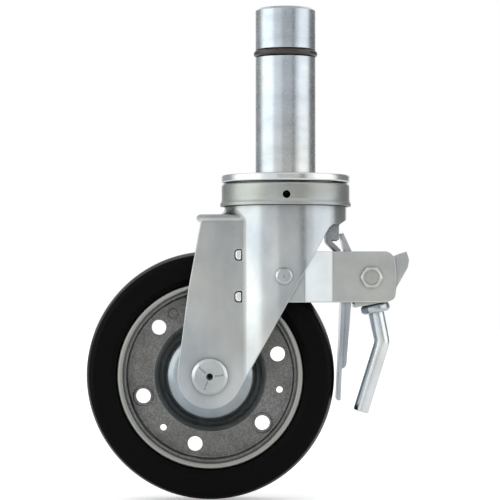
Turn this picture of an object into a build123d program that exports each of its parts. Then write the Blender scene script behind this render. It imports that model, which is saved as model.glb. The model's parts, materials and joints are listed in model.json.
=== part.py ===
from build123d import *
import os
from math import acos, atan2, cos, degrees, radians, sin

# Scaffold castor: a plated stem that slips into a scaffold tube, a swivel bearing, a pressed fork,
# a solid rubber wheel on two pressed discs, and a lever brake that also locks the swivel.
# Millimetres. The origin is on the stem axis at the flange's top face, +Z is up, and the lever is at +X.

os.makedirs("parts", exist_ok=True)

# Clearances
press_gap = 0.05
running_gap = 0.08
cut_over = 1.0
same_place = 0.01

# Stem and grip ring
stem_radius = 18.25
stem_length = 101.5
stem_chamfer_in = 2.0
stem_chamfer_down = 1.5
grip_height = 73.9
grip_outer_radius = 19.4
grip_section_radius = 2.0
grip_groove_half_width = 2.4

# Kingpin, the turned shank under the stem
king_radius = 9.0
king_thread_out = 1.5
king_end_chamfer = 1.0

# Swivel bearing
flange_setback = 0.7
stem_seat_depth = 1.0
flange_thickness = 4.6
flange_edge_radius = 1.0
race_inner_radius = 20.0
upper_race_radius = 36.0
upper_race_thickness = 2.4
upper_ball_radius = 4.75
upper_ball_circle = 28.4
upper_ball_count = 16
race_face_gap = 8.4
fork_race_thickness = 2.0
fork_race_over = 0.6
groove_gap = 0.1
lower_ball_radius = 2.4
lower_ball_circle = 15.0
lower_ball_count = 14
lower_race_radius = 19.5
lower_race_thickness = 4.0
lower_race_top_gap = 2.6

# Cover ring
cover_gap = 0.7
cover_sheet = 1.6
cover_over = 1.2
cover_flare_out = 0.9
cover_flare_height = 4.6
cover_lip_height = 1.6
cover_hook = 2.4
cover_shoulder_radius = 1.8
cover_height = 13.6
grease_hole_radius = 2.3
grease_hole_height = 13.0

# Lock ring and king nut
lock_ring_radius = 23.4
lock_ring_thickness = 3.2
lock_notch_depth = 3.8
lock_notch_width = 5.0
lock_notch_count = 4
king_nut_flats = 27.0
king_nut_height = 9.0
nut_corner_share = 1.15
nut_bevel = 0.6

# Fork
sheet = 3.2
bulge_radius = 37.0
cup_shoulder_radius = 2.0
panel_half_width = 28.0
web_top = -24.2
web_corner_radius = 5.0
crease_share = 0.55
inner_crease_share = 0.444
fork_front = -53.5
lip_radius = 3.0
lip_reach = 2.8
knee_x = -58.4
knee_z = -69.9
leg_end_radius = 19.3
rear_cut_x = 25.3
rear_cut_z = -32.9
rim_start_x = 28.0
rim_low = -30.4
rim_flat_x = 32.0
rim_high = -26.6
fork_bore_radius = 12.4

# Wheel and axle place
axle_x = -45.5
axle_z = -121.0
axle_radius = 6.0

# Tyre
tyre_radius = 75.0
tyre_half_width = 20.0
tyre_crown_drop = 2.4
tyre_shoulder_in = 1.6
tyre_shoulder_down = 2.6
tyre_shoulder_radius = 2.4
tyre_seat_gap = 1.0
tyre_wall_radius = 59.5
tyre_lip_radius = 56.6
tyre_lip_half_width = 17.6

# Wheel discs
disc_sheet = 2.2
disc_into_hub = 2.0
rim_base_radius = 50.5
rim_base_half_width = 14.0
bead_circle = 54.1
bead_radius = 2.2
bead_offset = 15.5
dish_start_radius = 33.6
dish_rise_radius = 27.0
dish_rise_offset = 7.0
dome_ring_radius = 23.4
dome_ring_offset = 14.6
dome_rise = 2.6
dome_bend = 2.6
dish_bend = 3.4
web_bend = 5.0
rim_bend = 2.6
disc_hole_circle = 42.6
disc_hole_radius = 4.5
disc_hole_count = 6
disc_hole_angle = 17.3
small_hole_circle = 42.7
small_hole_radius = 2.0
small_hole_angle = 108.0
collar_radius = 6.1
collar_height = 0.9
collar_edge_radius = 0.4
half_count = 3
seam_mark_radius = 3.25
seam_mark_width = 0.7
seam_mark_circle = 43.4
seam_mark_angle = 121.7
seam_mark_depth = 0.4

# Hub and wheel bearings
hub_outer_radius = 18.6
hub_inner_radius = 16.0
hub_half_length = 20.0
bearing_width = 10.0
bearing_recess = 1.0
bearing_ring_wall = 2.6
bearing_ball_radius = 2.9
bearing_ball_count = 8
sleeve_radius = 8.4
spacer_radius = 9.4
hub_stop_radius = 13.6

# Axle ends
axle_head_radius = 10.8
axle_face_radius = 8.85
axle_head_height = 3.8
axle_head_bevel = 1.2
axle_centre_radius = 2.1
axle_centre_depth = 8.0
stake_angles = (137.0, 7.0, 248.0)
stake_start = 3.0
stake_length = 5.4
stake_width = 0.9
stake_depth = 0.5
axle_washer_radius = 12.0
axle_washer_thickness = 2.5
axle_washer_edge = 0.4
axle_nut_flats = 19.0
axle_nut_height = 10.0
axle_thread_out = 2.0
axle_end_chamfer = 1.0

# Brake bracket
cheek_sheet = 2.6
cheek_top = -46.5
cheek_bottom = -77.0
cheek_front_x = -33.0
cheek_step_x = -22.0
cheek_flat_half = 10.4
cheek_bulge_y = 32.0
cheek_out_x = 27.5
cheek_out_y = 22.0
cheek_end_x = 63.6
cheek_end_bow = 2.2
cheek_corner_radius = 6.0
cheek_bend_radius = 3.6
slot_x = -28.5
slot_heights = (-48.7, -73.6)
slot_width = 4.7
slot_height = 6.9
slot_left_radius = 2.2
slot_right_radius = 0.8
tab_clearance = 0.6
tab_proud = 0.4
tab_edge_radius = 0.6

# Bracket rivets
rivet_x = -1.5
rivet_z = -61.4
rivet_head_radius = 5.0
rivet_face_radius = 3.9
rivet_head_height = 1.9
rivet_shank_radius = 3.0
rivet_dimple_radius = 0.9
rivet_dimple_depth = 0.5
rivet_tail_radius = 4.6
rivet_tail_height = 1.8

# Pivot bolt
pivot_x = 50.8
pivot_z = -62.1
bolt_radius = 4.0
bolt_flats = 12.0
bolt_corner = 6.6
bolt_head_bevel = 0.8
bolt_head_height = 5.3
bolt_dish_radius = 4.4
bolt_dish_depth = 1.0
nut_washer_radius = 8.0
nut_washer_thickness = 1.6
nut_washer_edge = 0.3
nut_height = 6.5
bolt_thread_out = 2.5

# Pedal channel
lever_tilt = 11.2
channel_half_width = 19.0
channel_sheet = 2.3
channel_base = 14.75
channel_base_left = 12.6
channel_base_right = 10.6
pedal_low = (64.9, -67.9)
pedal_mid = (71.9, -55.6)
pedal_high = (72.6, -51.5)
pedal_tip = (71.1, -46.9)
pedal_back = (63.7, -49.8)
ear_radius = 10.5
channel_bends = (3.0, 6.0, 4.0, 3.4)
mouth_high = 8.0
mouth_left = 4.0

# Brake cam
cam_hub_radius = 8.0
cam_half_width = 10.0
cam_radius = 14.0
cam_throw = 0.5
cam_throw_angle = 116.0
pawl_cam_radius = 11.28
pawl_cam_throw = 1.48
pawl_cam_angle = 72.5
pawl_cam_inner = 13.4
pawl_cam_outer = 15.6
cam_neck_radius = 7.0

# Lever rod
rod_radius = 4.75
rod_bend_distance = 40.0
rod_bend_radius = 9.0
rod_end = (45.5, -143.2)
rod_end_chamfer = 0.5
rod_seat_gap = 0.5
rod_tip_start = 7.5
rod_tip_radius = 4.2
lock_nut_radius = 8.8
lock_nut_height = 5.7
lock_nut_round = 2.3

# Shoe pin, brake shoe and pawl
pin_x = 34.5
pin_z = -50.5
pin_radius = 2.5
shoe_sheet = 2.0
shoe_web_half_width = 16.0
shoe_half_width = 13.0
shoe_window_gap = 0.5
tongue_flange_low = 3.6
tongue_flange_high = 0.9
shoe_top_left_x = 34.2
shoe_foot_left_x = 30.7
shoe_top_z = -56.5
shoe_foot_z = -135.8
shoe_tongue_low = (39.3, -48.0)
shoe_tongue_high = (33.6, -35.6)
flange_top_x = 39.3
flange_low_x = 36.2
flange_top_z = -77.0
flange_low_z = -117.0
flange_corner_radius = 3.4
ear_lug_radius = 3.9

# Swivel pawl
pawl_sheet = 2.7
pawl_x = 25.4
pawl_bend_z = -40.0
pawl_half_width = 15.4
pawl_shoulder_z = -31.6
pawl_tooth_top = -24.6
pawl_tooth_half_width = 2.0
pawl_tooth_tip_half = 0.2
pawl_low = (32.2, -46.6)
pawl_flange_sheet = 2.0
pawl_bend_radius = 3.0
pawl_flange_x = 31.9
pawl_flange_top = -30.4
pawl_flange_low = -39.5
pawl_tail = (41.5, -51.5)
pawl_tail_radius = 1.6
pawl_knee_out = 2.4
pawl_knee_in = 2.0
pawl_well_out = (1.5, 1.0)
pawl_well_in = (-4.0, -1.5)
pawl_tail_room = 3.0

# Return spring
spring_wire_radius = 0.6
spring_mean_radius = 3.5
spring_pitch = 1.5
spring_turns = 6.3
spring_leg = 6.6

# Radii that follow from the cup, outwards
fork_race_radius = bulge_radius + fork_race_over
cover_radius = fork_race_radius + cover_over
cover_flare_radius = cover_radius + cover_flare_out
flange_radius = cover_flare_radius - flange_setback
crease_radius = (bulge_radius - panel_half_width) * crease_share
inner_crease_radius = (bulge_radius - panel_half_width) * inner_crease_share

# Heights that follow from the stack of the swivel bearing
upper_race_low = -flange_thickness - upper_race_thickness
fork_race_top = upper_race_low - race_face_gap
upper_ball_z = (upper_race_low + fork_race_top) / 2
fork_top = fork_race_top - fork_race_thickness
fork_under = fork_top - sheet
lower_ball_z = fork_under - groove_gap - lower_ball_radius
lower_race_top = fork_under - lower_race_top_gap
lower_race_low = lower_race_top - lower_race_thickness
lock_ring_low = lower_race_low - lock_ring_thickness
king_nut_low = lock_ring_low - king_nut_height
king_low = king_nut_low - king_thread_out

# Widths that follow across the wheel
leg_inner = panel_half_width - sheet
bulge_inner = bulge_radius - sheet
cheek_inner_y = cheek_out_y - cheek_sheet
bearing_outer_face = hub_half_length - bearing_recess
bearing_inner_face = bearing_outer_face - bearing_width
far_washer_face = panel_half_width + axle_washer_thickness
far_nut_face = far_washer_face + axle_nut_height

# Planes and axes
axle_axis = Axis((axle_x, 0, axle_z), (0, 1, 0))
pivot_axis = Axis((pivot_x, 0, pivot_z), (0, 1, 0))
wheel_section = Plane(origin=(axle_x, 0, axle_z), x_dir=(1, 0, 0), z_dir=(0, 0, 1))
pivot_section = Plane(origin=(pivot_x, 0, pivot_z), x_dir=(1, 0, 0), z_dir=(0, 0, 1))
rod_x = sin(radians(lever_tilt))
rod_z = -cos(radians(lever_tilt))
rod_plane = Plane(origin=(pivot_x, 0, pivot_z), x_dir=(0, 1, 0), z_dir=(rod_x, 0, rod_z))


def along_rod(distance, right=0.0):
    """A point in the side view, so far along the rod from the pivot and so far to its right."""
    x = pivot_x + distance * rod_x - right * rod_z
    z = pivot_z + distance * rod_z + right * rod_x
    return (x, z)


def side_plane(x, z, side):
    """A plane across the object at a point of the side view, facing out to one side."""
    return Plane(origin=(x, 0, z), x_dir=(1, 0, 0), z_dir=(0, side, 0))


def tangent_point(point, centre, radius, turn):
    """Where a line from a point touches a circle, on the side that turn gives."""
    dx = point[0] - centre[0]
    dz = point[1] - centre[1]
    distance = (dx * dx + dz * dz) ** 0.5
    angle = atan2(dz, dx) + turn * acos(radius / distance)
    return (centre[0] + radius * cos(angle), centre[1] + radius * sin(angle))


def write(solid, name):
    solid.label = name
    export_step(solid, f"parts/{name}.step")


def turned(points, plane, axis, round_edges=0.0):
    """A ring or disc turned from a section of straight lines, as (radius, height) points."""
    with BuildPart() as ring:
        with BuildSketch(plane):
            with BuildLine():
                Polyline(*points, close=True)
            make_face()
        revolve(axis=axis)
        if round_edges:
            fillet(ring.edges().filter_by(GeomType.CIRCLE), radius=round_edges)
    return ring.part


def ring_points(inner, outer, low, high):
    return [(inner, low), (outer, low), (outer, high), (inner, high)]


# Stem, with the groove for the grip ring and the kingpin turned on its lower end
groove_floor = grip_outer_radius - 2 * grip_section_radius - press_gap
groove_low = grip_height - grip_groove_half_width
groove_high = grip_height + grip_groove_half_width
with BuildPart() as stem:
    with BuildSketch(Plane.XZ):
        with BuildLine():
            Polyline(
                (0, king_low),
                (king_radius - king_end_chamfer, king_low),
                (king_radius, king_low + king_end_chamfer),
                (king_radius, -stem_seat_depth),
                (stem_radius, -stem_seat_depth),
                (stem_radius, groove_low),
                (groove_floor, groove_low),
                (groove_floor, groove_high),
                (stem_radius, groove_high),
                (stem_radius, stem_length - stem_chamfer_down),
                (stem_radius - stem_chamfer_in, stem_length),
                (0, stem_length),
                close=True,
            )
        make_face()
    revolve(axis=Axis.Z)
write(stem.part, "stem")

# Grip ring, the elastic ring that holds the stem in its tube
with BuildPart() as grip_ring:
    with BuildSketch(Plane.XZ):
        with Locations((grip_outer_radius - grip_section_radius, grip_height)):
            Circle(grip_section_radius)
    revolve(axis=Axis.Z)
write(grip_ring.part, "grip_ring")

# Top flange, pressed on the kingpin, with a counterbore for the stem's shoulder
top_flange = turned(
    [
        (king_radius + press_gap, -flange_thickness),
        (flange_radius, -flange_thickness),
        (flange_radius, 0),
        (stem_radius + press_gap, 0),
        (stem_radius + press_gap, -stem_seat_depth),
        (king_radius + press_gap, -stem_seat_depth),
    ],
    Plane.XZ,
    Axis.Z,
)
with BuildPart() as flange:
    add(top_flange)
    fillet(flange.edges().group_by(SortBy.LENGTH)[-1], radius=flange_edge_radius)
write(flange.part, "top_flange")


def race(inner, outer, low, high, ball_circle, ball_z, ball_radius):
    """A bearing ring with a round groove for its balls."""
    with BuildPart() as ring:
        with BuildSketch(Plane.XZ):
            with BuildLine():
                Polyline(*ring_points(inner, outer, low, high), close=True)
            make_face()
            with Locations((ball_circle, ball_z)):
                Circle(ball_radius + groove_gap, mode=Mode.SUBTRACT)
        revolve(axis=Axis.Z)
    return ring.part


def ball_ring(plane, circle, radius, count):
    """Separate balls spaced round a circle."""
    with BuildPart() as balls:
        with Locations(plane):
            with PolarLocations(circle, count):
                Sphere(radius)
    return balls.part


# Swivel bearing: two races with the load balls between them, and the small lower bearing
upper_race = race(
    race_inner_radius,
    upper_race_radius,
    upper_race_low,
    -flange_thickness,
    upper_ball_circle,
    upper_ball_z,
    upper_ball_radius,
)
write(upper_race, "upper_race")
fork_race = race(
    race_inner_radius,
    fork_race_radius,
    fork_top,
    fork_race_top,
    upper_ball_circle,
    upper_ball_z,
    upper_ball_radius,
)
write(fork_race, "fork_race")
lower_race = race(
    king_radius + press_gap,
    lower_race_radius,
    lower_race_low,
    lower_race_top,
    lower_ball_circle,
    lower_ball_z,
    lower_ball_radius,
)
write(lower_race, "lower_race")
upper_balls = ball_ring(
    Plane.XY.offset(upper_ball_z), upper_ball_circle, upper_ball_radius, upper_ball_count
)
write(upper_balls, "upper_balls")
lower_balls = ball_ring(
    Plane.XY.offset(lower_ball_z), lower_ball_circle, lower_ball_radius, lower_ball_count
)
write(lower_balls, "lower_balls")

# Cover ring, a pressed dust cover that hooks over the fork race and stops just under the flange
cover_top = -flange_thickness - cover_gap
cover_low = cover_top - cover_height
flare_top = cover_low + cover_flare_height
lip_top = cover_low + cover_lip_height
with BuildPart() as cover_ring:
    with BuildSketch(Plane.XZ):
        with BuildLine():
            hook = Polyline(
                (cover_radius - cover_hook, cover_top - cover_sheet),
                (cover_radius - cover_hook, cover_top),
                (cover_radius - cover_shoulder_radius, cover_top),
            )
            shoulder = RadiusArc(
                hook @ 1,
                (cover_radius, cover_top - cover_shoulder_radius),
                cover_shoulder_radius,
            )
            wall = Line(shoulder @ 1, (cover_radius, flare_top))
            flare = TangentArc(wall @ 1, (cover_flare_radius, lip_top), tangent=wall % 1)
            Polyline(
                flare @ 1,
                (cover_flare_radius, cover_low),
                (fork_race_radius + press_gap, cover_low),
                (fork_race_radius + press_gap, fork_race_top),
                (cover_radius - cover_sheet, fork_race_top),
                (cover_radius - cover_sheet, cover_top - cover_sheet),
                hook @ 0,
            )
        make_face()
    revolve(axis=Axis.Z)
    with BuildSketch(Plane.XZ):
        with Locations((0, -grease_hole_height)):
            Circle(grease_hole_radius)
    extrude(amount=cover_flare_radius, mode=Mode.SUBTRACT)
write(cover_ring.part, "cover_ring")

# Lock ring, whose notches take the pawl's tooth
with BuildPart() as lock_ring:
    with BuildSketch(Plane.XY.offset(lock_ring_low)):
        Circle(lock_ring_radius)
        Circle(king_radius + press_gap, mode=Mode.SUBTRACT)
        with PolarLocations(lock_ring_radius, lock_notch_count):
            Polygon(
                (-lock_notch_depth, 0),
                (lock_notch_depth, -lock_notch_width),
                (lock_notch_depth, lock_notch_width),
                align=None,
                mode=Mode.SUBTRACT,
            )
    extrude(amount=lock_ring_thickness)
write(lock_ring.part, "lock_ring")


def hex_head(plane, flats, height, corner, bevel):
    """A hexagon block on a plane, its outer corners turned away at the top."""
    section = Plane(origin=plane.origin, x_dir=plane.x_dir, z_dir=-plane.y_dir)
    with BuildPart() as block:
        with BuildSketch(plane):
            RegularPolygon(flats / 2, 6, major_radius=False)
        extrude(amount=height)
        with BuildSketch(section):
            with BuildLine():
                Polyline(
                    (0, 0),
                    (corner, 0),
                    (corner, height - bevel),
                    (corner - 2 * bevel, height),
                    (0, height),
                    close=True,
                )
            make_face()
        revolve(axis=Axis(plane.origin, plane.z_dir), mode=Mode.INTERSECT)
    return block.part


def hex_nut(plane, flats, height, bore):
    """A hexagon nut standing on a plane."""
    with BuildPart() as nut:
        add(hex_head(plane, flats, height, flats / 2 * nut_corner_share, nut_bevel))
        with BuildSketch(plane):
            Circle(bore)
        extrude(amount=height, mode=Mode.SUBTRACT)
    return nut.part


king_nut = hex_nut(
    Plane.XY.offset(king_nut_low), king_nut_flats, king_nut_height, king_radius + press_gap
)
write(king_nut, "king_nut")


def fork_form(radius, top, half_width, web, corner, crease):
    """The cup on the swivel axis joined to the box over the wheel, blended where they meet."""
    bottom = axle_z - 2 * leg_end_radius
    with BuildPart() as form:
        with BuildSketch(Plane.YZ.offset(axle_x - 2 * leg_end_radius)) as box_end:
            with BuildLine():
                Polyline(
                    (-half_width, bottom),
                    (-half_width, web),
                    (half_width, web),
                    (half_width, bottom),
                    close=True,
                )
            make_face()
            fillet(box_end.vertices().group_by(Axis.Y)[-1], radius=corner)
        extrude(amount=2 * leg_end_radius - axle_x)
        with BuildSketch(Plane.XY.offset(bottom)):
            Circle(radius)
        extrude(amount=top - bottom)
        seam = []
        for edge in form.edges():
            middle = edge @ 0.5
            on_cup = abs((middle.X**2 + middle.Y**2) ** 0.5 - radius) < same_place
            if on_cup and middle.X < -cut_over and bottom + cut_over < middle.Z < top - cut_over:
                seam.append(edge)
        fillet(seam, radius=crease)
        fillet(form.faces().sort_by(Axis.Z)[-1].edges(), radius=cup_shoulder_radius)
    return form.part


fork_outside = fork_form(
    bulge_radius, fork_top, panel_half_width, web_top, web_corner_radius, crease_radius
)
fork_inside = fork_form(
    bulge_inner,
    fork_under,
    leg_inner,
    web_top - sheet,
    web_corner_radius - sheet,
    inner_crease_radius,
)



def slot_form(width, height):
    """A slot with its round end to the front, as a flat sketch about its middle."""
    with BuildSketch(mode=Mode.PRIVATE) as form:
        Rectangle(width, height)
        fillet(form.vertices().group_by(Axis.X)[0], radius=slot_left_radius * height / slot_height)
        fillet(form.vertices().group_by(Axis.X)[-1], radius=slot_right_radius)
    return form.sketch


# Fork, one deep pressing: the form above less its inside, cut to its outline from the side
axle_point = (axle_x, axle_z)
leg_left = tangent_point((knee_x, knee_z), axle_point, leg_end_radius, 1)
leg_right = tangent_point((rear_cut_x, rear_cut_z), axle_point, leg_end_radius, -1)
with BuildPart() as fork:
    add(fork_outside)
    add(fork_inside, mode=Mode.SUBTRACT)
    with BuildSketch(Plane.XZ):
        with BuildLine():
            front = Polyline(
                (fork_front + lip_radius, 0),
                (fork_front + lip_radius, web_top),
            )
            lip = RadiusArc(front @ 1, (fork_front, web_top - lip_radius), -lip_radius)
            leg = Polyline(
                lip @ 1,
                (fork_front, web_top - sheet),
                (fork_front + lip_reach, web_top - sheet),
                (knee_x, knee_z),
                leg_left,
            )
            foot = ThreePointArc(leg @ 1, (axle_x, axle_z - leg_end_radius), leg_right)
            Polyline(
                foot @ 1,
                (rear_cut_x, rear_cut_z),
                (rim_start_x, rim_low),
                (rim_flat_x, rim_low),
                (bulge_radius + 0.5, rim_high),
                (bulge_radius + 0.5, 0),
                front @ 0,
            )
        make_face()
    extrude(amount=bulge_radius + cut_over, both=True, mode=Mode.INTERSECT)
    with BuildSketch(Plane.XY.offset(fork_under - cut_over)):
        Circle(fork_bore_radius)
    extrude(amount=sheet + 2 * cut_over, mode=Mode.SUBTRACT)
    with BuildSketch(Plane.XZ):
        with Locations(axle_point):
            Circle(axle_radius + press_gap)
        with Locations((rivet_x, rivet_z)):
            Circle(rivet_shank_radius + press_gap)
        for height in slot_heights:
            add(slot_form(slot_width, slot_height).moved(Location((slot_x, height))))
    extrude(amount=bulge_radius + cut_over, both=True, mode=Mode.SUBTRACT)
write(fork.part, "fork")


def bracket_cheek(side):
    """One bent cheek: flat behind the panel, out into the bulge, in again, and flat at the lever."""
    inset = cheek_sheet / 2
    with BuildPart() as cheek:
        with BuildSketch(Plane.XY.offset(cheek_bottom)):
            with BuildLine():
                FilletPolyline(
                    (cheek_front_x, side * (leg_inner - inset)),
                    (cheek_step_x, side * (leg_inner - inset)),
                    (-cheek_flat_half, side * (cheek_bulge_y - inset)),
                    (cheek_flat_half, side * (cheek_bulge_y - inset)),
                    (cheek_out_x, side * (cheek_out_y - inset)),
                    (cheek_end_x + 2 * cheek_end_bow, side * (cheek_out_y - inset)),
                    radius=cheek_bend_radius,
                )
            trace(line_width=cheek_sheet)
        extrude(amount=cheek_top - cheek_bottom)
        with BuildSketch(Plane.XZ) as outline:
            middle = (cheek_top + cheek_bottom) / 2
            with BuildLine():
                end = ThreePointArc(
                    (cheek_end_x, cheek_bottom),
                    (cheek_end_x + cheek_end_bow, middle),
                    (cheek_end_x, cheek_top),
                )
                Polyline(
                    end @ 1,
                    (cheek_front_x, cheek_top),
                    (cheek_front_x, cheek_bottom),
                    end @ 0,
                )
            make_face()
            fillet(outline.vertices().group_by(Axis.X)[-1], radius=cheek_corner_radius)
        extrude(amount=bulge_radius, both=True, mode=Mode.INTERSECT)
        with BuildSketch(Plane.XZ):
            with Locations((pivot_x, pivot_z)):
                Circle(bolt_radius + press_gap)
            with Locations((rivet_x, rivet_z)):
                Circle(rivet_shank_radius + press_gap)
        extrude(amount=bulge_radius, both=True, mode=Mode.SUBTRACT)
        tab_width = slot_width - 2 * tab_clearance
        tab_height = slot_height - 2 * tab_clearance
        with BuildSketch(side_plane(0, 0, side).offset(leg_inner - inset)):
            for height in slot_heights:
                add(slot_form(tab_width, tab_height).moved(Location((slot_x, -side * height))))
        extrude(amount=inset + sheet + tab_proud)
        face_y = side * (leg_inner + sheet + tab_proud)
        tops = [edge for edge in cheek.edges() if abs((edge @ 0.5).Y - face_y) < same_place]
        fillet([e for e in tops if (e @ 0.5).X < cheek_step_x], radius=tab_edge_radius)
    return cheek.part


def rivet(side):
    """One rivet: a set head with a dimple outside the bulge, and a tail inside the cheek."""
    tail = cheek_bulge_y - cheek_sheet
    with BuildPart() as body:
        with BuildSketch(side_plane(rivet_x, rivet_z, side).offset(tail - rivet_tail_height)):
            Circle(rivet_tail_radius)
        extrude(amount=rivet_tail_height)
        with BuildSketch(side_plane(rivet_x, rivet_z, side).offset(tail)):
            Circle(rivet_shank_radius)
        extrude(amount=bulge_radius - tail)
        with BuildSketch(side_plane(rivet_x, rivet_z, side).offset(bulge_radius)):
            Circle(rivet_head_radius)
        extrude(amount=rivet_head_height)
        rim = body.edges().filter_by(GeomType.CIRCLE).sort_by(Axis.Y)
        chamfer(rim[-1] if side > 0 else rim[0], length=rivet_head_radius - rivet_face_radius)
        with BuildSketch(side_plane(rivet_x, rivet_z, side).offset(bulge_radius + rivet_head_height)):
            Circle(rivet_dimple_radius)
        extrude(amount=-rivet_dimple_depth, mode=Mode.SUBTRACT)
    return body.part


# Bracket cheeks and their rivets, one of each on either side
write(bracket_cheek(-1), "bracket_cheek_near")
write(bracket_cheek(1), "bracket_cheek_far")
with BuildPart() as bracket_rivets:
    add(rivet(-1))
    add(rivet(1))
write(bracket_rivets.part, "bracket_rivets")

# Tyre, solid rubber with a crowned tread, seated between the beads of the discs
tyre_seat = rim_base_radius + disc_sheet + press_gap
tyre_shoulder = tyre_radius - tyre_crown_drop
tyre_seat_half = rim_base_half_width - tyre_seat_gap
with BuildPart() as tyre:
    with BuildSketch(wheel_section) as tyre_section:
        with BuildLine():
            crown = ThreePointArc(
                (tyre_shoulder, -tyre_half_width + tyre_shoulder_in),
                (tyre_radius, 0),
                (tyre_shoulder, tyre_half_width - tyre_shoulder_in),
            )
            Polyline(
                crown @ 1,
                (tyre_shoulder - tyre_shoulder_down, tyre_half_width),
                (tyre_wall_radius, tyre_half_width),
                (tyre_lip_radius, tyre_lip_half_width),
                (tyre_lip_radius, tyre_seat_half),
                (tyre_seat, tyre_seat_half),
                (tyre_seat, -tyre_seat_half),
                (tyre_lip_radius, -tyre_seat_half),
                (tyre_lip_radius, -tyre_lip_half_width),
                (tyre_wall_radius, -tyre_half_width),
                (tyre_shoulder - tyre_shoulder_down, -tyre_half_width),
                crown @ 0,
            )
        make_face()
        fillet(tyre_section.vertices().group_by(Axis.X)[-1], radius=tyre_shoulder_radius)
    revolve(axis=axle_axis)
write(tyre.part, "tyre")


def rim_disc(side):
    """One pressed wheel disc: flat web on its twin, dished centre, rim base and rolled bead."""
    half = disc_sheet / 2
    base = rim_base_radius + half
    with BuildPart() as disc:
        with BuildSketch(wheel_section):
            with BuildLine():
                FilletPolyline(
                    (hub_outer_radius - disc_into_hub, side * (dome_ring_offset + dome_rise)),
                    (dome_ring_radius, side * dome_ring_offset),
                    (dish_rise_radius, side * dish_rise_offset),
                    (dish_start_radius, side * half),
                    (base, side * half),
                    (base, side * rim_base_half_width),
                    radius=[dome_bend, dish_bend, web_bend, rim_bend],
                )
            trace(line_width=disc_sheet)
            with Locations((bead_circle, side * bead_offset)):
                Circle(bead_radius)
        revolve(axis=axle_axis)
        with BuildSketch(side_plane(axle_x, axle_z, 1)):
            Circle(hub_outer_radius + press_gap)
        extrude(amount=hub_half_length, both=True, mode=Mode.SUBTRACT)
        with BuildSketch(side_plane(axle_x, axle_z, -1)):
            with PolarLocations(disc_hole_circle, disc_hole_count, disc_hole_angle):
                Circle(disc_hole_radius)
            with PolarLocations(small_hole_circle, half_count, small_hole_angle):
                Circle(small_hole_radius)
        extrude(amount=disc_sheet + cut_over, both=True, mode=Mode.SUBTRACT)
        collar_angle = disc_hole_angle + 60 * (1 if side < 0 else 0)
        with BuildSketch(side_plane(axle_x, axle_z, side).offset(disc_sheet)):
            with PolarLocations(disc_hole_circle, half_count, -side * collar_angle):
                Circle(collar_radius)
                Circle(disc_hole_radius, mode=Mode.SUBTRACT)
        extrude(amount=collar_height)
        top = disc_sheet + collar_height
        rims = [
            edge
            for edge in disc.edges().filter_by(GeomType.CIRCLE)
            if abs(edge.arc_center.Y - side * top) < same_place and edge.radius < collar_radius + same_place
        ]
        fillet(rims, radius=collar_edge_radius)
        with BuildSketch(side_plane(axle_x, axle_z, side).offset(disc_sheet)):
            with PolarLocations(seam_mark_circle, 1, -side * seam_mark_angle):
                Circle(seam_mark_radius)
                Circle(seam_mark_radius - seam_mark_width, mode=Mode.SUBTRACT)
        extrude(amount=seam_mark_depth)
    return disc.part


write(rim_disc(-1), "rim_disc_near")
write(rim_disc(1), "rim_disc_far")

# Hub, a tube bored for a bearing at each end, with a stop between the bearings
write(
    turned(
        [
            (hub_outer_radius, -hub_half_length),
            (hub_outer_radius, hub_half_length),
            (hub_inner_radius, hub_half_length),
            (hub_inner_radius, bearing_inner_face),
            (hub_stop_radius, bearing_inner_face),
            (hub_stop_radius, -bearing_inner_face),
            (hub_inner_radius, -bearing_inner_face),
            (hub_inner_radius, -hub_half_length),
        ],
        wheel_section,
        axle_axis,
    ),
    "hub",
)

# Wheel bearings: outer rings in the hub, inner rings on the axle, and balls between them
inner_ring_outer = axle_radius + press_gap + bearing_ring_wall
outer_ring_outer = hub_inner_radius - press_gap
outer_ring_inner = outer_ring_outer - bearing_ring_wall
bearing_circle = (inner_ring_outer + outer_ring_inner) / 2


def bearing_ring(inner, outer, side):
    """One ring of a ball bearing, with the groove for its balls."""
    centre = side * (bearing_inner_face + bearing_outer_face) / 2
    with BuildPart() as ring:
        with BuildSketch(wheel_section):
            with Locations(((inner + outer) / 2, centre)):
                Rectangle(outer - inner, bearing_width)
            with Locations((bearing_circle, centre)):
                Circle(bearing_ball_radius + groove_gap, mode=Mode.SUBTRACT)
        revolve(axis=axle_axis)
    return ring.part


with BuildPart() as bearing_outer_rings:
    add(bearing_ring(outer_ring_inner, outer_ring_outer, -1))
    add(bearing_ring(outer_ring_inner, outer_ring_outer, 1))
write(bearing_outer_rings.part, "bearing_outer_rings")
with BuildPart() as bearing_inner_rings:
    add(bearing_ring(axle_radius + press_gap, inner_ring_outer, -1))
    add(bearing_ring(axle_radius + press_gap, inner_ring_outer, 1))
write(bearing_inner_rings.part, "bearing_inner_rings")
ball_offset = (bearing_inner_face + bearing_outer_face) / 2
with BuildPart() as bearing_balls:
    for side in (-1, 1):
        with Locations(side_plane(axle_x, axle_z, side).offset(ball_offset)):
            with PolarLocations(bearing_circle, bearing_ball_count):
                Sphere(bearing_ball_radius)
write(bearing_balls.part, "bearing_balls")

# Hub sleeve between the inner rings, and a spacer from each ring out to the fork's leg
axle_bore = axle_radius + press_gap
write(
    turned(
        ring_points(axle_bore, sleeve_radius, -bearing_inner_face, bearing_inner_face),
        wheel_section,
        axle_axis,
    ),
    "hub_sleeve",
)
with BuildPart() as axle_spacers:
    for side in (-1, 1):
        low = side * bearing_outer_face
        high = side * leg_inner
        add(turned(ring_points(axle_bore, spacer_radius, low, high), wheel_section, axle_axis))
write(axle_spacers.part, "axle_spacers")

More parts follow.
